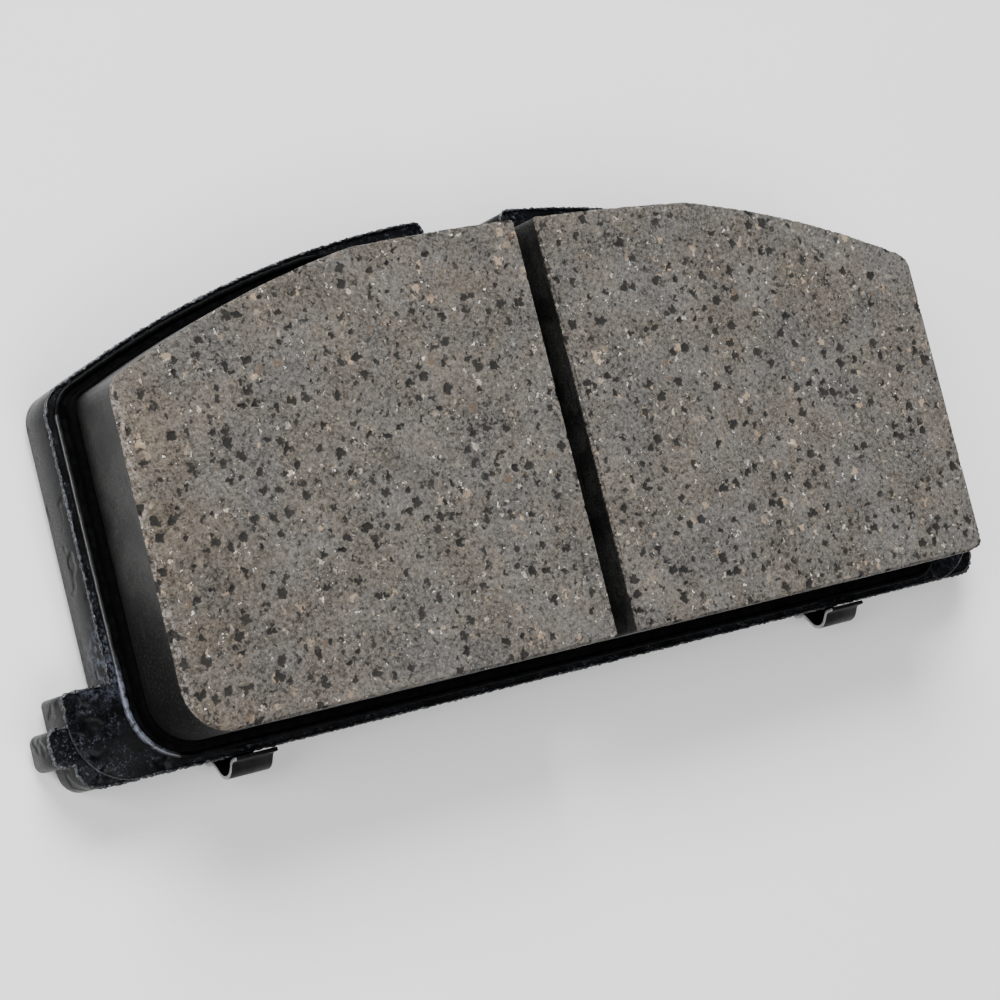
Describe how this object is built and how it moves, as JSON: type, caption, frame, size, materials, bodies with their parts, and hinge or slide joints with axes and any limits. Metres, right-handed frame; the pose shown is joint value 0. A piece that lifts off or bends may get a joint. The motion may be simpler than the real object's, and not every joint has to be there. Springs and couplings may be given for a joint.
{
  "type": "brake pad",
  "caption": "Disc-brake pad: slotted friction blocks on an eared steel backing plate, with a laminated inner shim and a hooked outer anti-squeal shim behind it.",
  "frame": {"origin": "centre of the outer shim's rear face, the face the piston or caliper presses on, at half the friction face's height", "axes": "+X along the pad, left to right seen from the disc; +Y away from the wheel's axis, towards the arched edge; +Z out of the friction face, towards the disc"},
  "size_m": [0.1186, 0.0511, 0.016],
  "materials": {
    "plate_paint": "satin",
    "cured_adhesive": "satin",
    "underlayer_compound": "matte",
    "friction_compound": "matte",
    "shim_rubber": "matte",
    "shim_steel": "satin",
    "shim_coat": "satin"
  },
  "bodies": {
    "root": {"backing_plate": "plate_paint", "bonding_film": "cured_adhesive", "underlayer": "underlayer_compound", "friction_block_left": "friction_compound", "friction_block_right": "friction_compound", "shim_rubber_front": "shim_rubber", "shim_core": "shim_steel", "shim_rubber_rear": "shim_rubber", "outer_shim": "shim_coat"}
  },
  "joints": []
}
